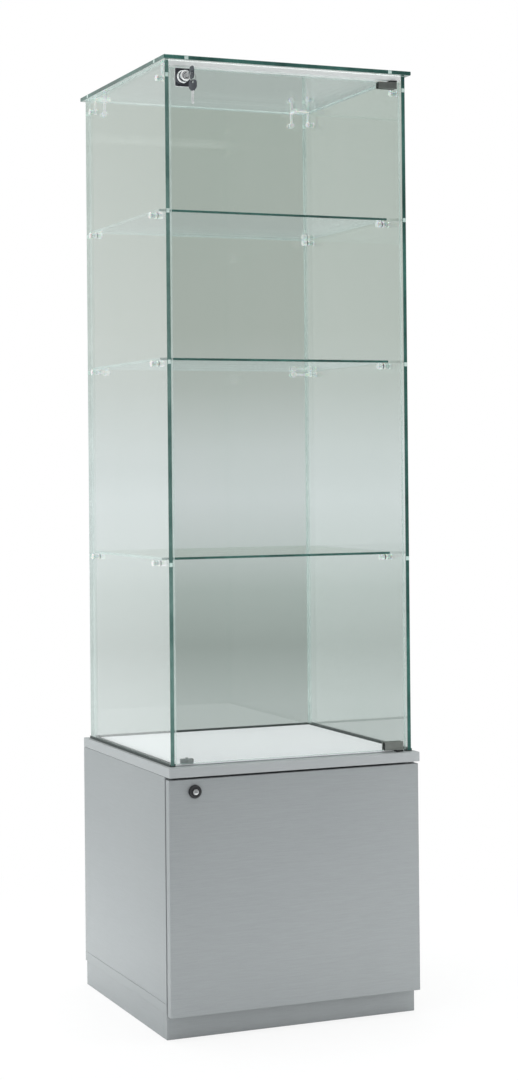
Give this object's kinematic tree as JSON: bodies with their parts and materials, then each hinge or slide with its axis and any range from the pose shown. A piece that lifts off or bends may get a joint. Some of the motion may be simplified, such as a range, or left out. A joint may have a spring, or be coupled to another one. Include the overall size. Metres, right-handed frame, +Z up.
{
  "type": "tower display case",
  "caption": "Tall frameless glass showcase with shelves and a hinged lockable glass door, on a square lockable storage cabinet.",
  "frame": {"origin": "on the floor, under the centre of the overall box (keys in the glass door included)", "axes": "+Z up, -Y out of the front where both doors open, +X to the hinge side"},
  "size_m": [0.53, 0.582, 1.88],
  "materials": {
    "silver_laminate": "chipboard faced in silver-grey melamine with a faint brushed grain, satin",
    "white_laminate": "white melamine, satin",
    "white_rail": "white powder coat",
    "glazing_strip": "dark grey-green PVC, matt",
    "clear_glass": "clear float glass with polished green edges",
    "clear_plastic": "clear moulded polycarbonate, slightly frosted",
    "dark_nickel": "brushed dark nickel",
    "chrome": "polished chrome",
    "zinc_steel": "bright zinc plate",
    "black_plastic": "black moulded, semi-gloss",
    "key_plastic": "dark grey moulded bow, matt",
    "smoke_plastic": "translucent grey moulded"
  },
  "bodies": {
    "case": {"bottom_board": "silver_laminate", "cabinet_back": "silver_laminate", "cabinet_lock_strike": "zinc_steel", "cabinet_side_left": "silver_laminate", "cabinet_side_right": "silver_laminate", "corner_joint_middle_left": "clear_plastic", "corner_joint_middle_right": "clear_plastic", "corner_joint_top_front_left": "clear_plastic", "corner_joint_top_front_right": "clear_plastic", "corner_joint_top_rear_left": "clear_plastic", "corner_joint_top_rear_right": "clear_plastic", "display_deck": "white_laminate", "door_stop": "smoke_plastic", "glass_back": "clear_glass", "glass_left": "clear_glass", "glass_right": "clear_glass", "glass_top": "clear_glass", "glazing_strip_back": "glazing_strip", "glazing_strip_left": "glazing_strip", "glazing_strip_right": "glazing_strip", "head_rail": "white_rail", "hinge_arm_lower": "zinc_steel", "hinge_arm_upper": "zinc_steel", "pivot_bush_lower": "black_plastic", "pivot_bush_upper": "black_plastic", "plinth_back": "silver_laminate", "plinth_front": "silver_laminate", "plinth_left": "silver_laminate", "plinth_right": "silver_laminate", "shelf_lower": "clear_glass", "shelf_middle": "clear_glass", "shelf_support_lower_left_front": "clear_plastic", "shelf_support_lower_left_rear": "clear_plastic", "shelf_support_lower_right_front": "clear_plastic", "shelf_support_lower_right_rear": "clear_plastic", "shelf_support_middle_left_front": "clear_plastic", "shelf_support_middle_right_front": "clear_plastic", "shelf_support_upper_left_front": "clear_plastic", "shelf_support_upper_left_rear": "clear_plastic", "shelf_support_upper_right_front": "clear_plastic", "shelf_support_upper_right_rear": "clear_plastic", "shelf_upper": "clear_glass", "top_board": "silver_laminate"},
    "glass_door": {"glass_door": "clear_glass", "hinge_shoe_upper": "dark_nickel", "hinge_shoe_lower": "dark_nickel", "glass_lock_housing": "chrome", "glass_lock_nut": "chrome"},
    "glass_lock": {"glass_lock_plug": "chrome", "glass_lock_cam": "zinc_steel", "key": "key_plastic"},
    "key_ring": {"key_ring": "zinc_steel"},
    "spare_key": {"spare_key": "key_plastic"},
    "cabinet_door": {"cabinet_door": "silver_laminate", "cabinet_lock_housing": "black_plastic", "hinge_cup_upper": "zinc_steel", "hinge_cup_lower": "zinc_steel"},
    "cabinet_lock": {"cabinet_lock_plug": "zinc_steel", "cabinet_lock_cam": "zinc_steel"}
  },
  "joints": [
    {"name": "glass_door_hinge", "type": "hinge", "parent": "case", "child": "glass_door", "pos_m": [0.229, -0.2155, 1.192], "axis": [0, 0, 1], "range_deg": [0, 115]},
    {"name": "glass_lock_turn", "type": "hinge", "parent": "glass_door", "child": "glass_lock", "pos_m": [-0.221, -0.224, 1.84], "axis": [0, -1, 0], "range_deg": [0, 90]},
    {"name": "key_ring_swing", "type": "hinge", "parent": "glass_lock", "child": "key_ring", "pos_m": [-0.221, -0.28122, 1.8391], "axis": [-0.4226, 0.9063, 0], "range_deg": [-15, 15]},
    {"name": "spare_key_swing", "type": "hinge", "parent": "key_ring", "child": "spare_key", "pos_m": [-0.221, -0.28122, 1.8221], "axis": [0.9063, 0.4226, 0], "range_deg": [-20, 20]},
    {"name": "cabinet_door_hinge", "type": "hinge", "parent": "case", "child": "cabinet_door", "pos_m": [0.257, -0.227, 0.2725], "axis": [0, 0, 1], "range_deg": [0, 110]},
    {"name": "cabinet_lock_turn", "type": "hinge", "parent": "cabinet_door", "child": "cabinet_lock", "pos_m": [-0.212, -0.224, 0.474], "axis": [0, -1, 0], "range_deg": [0, 90]}
  ]
}
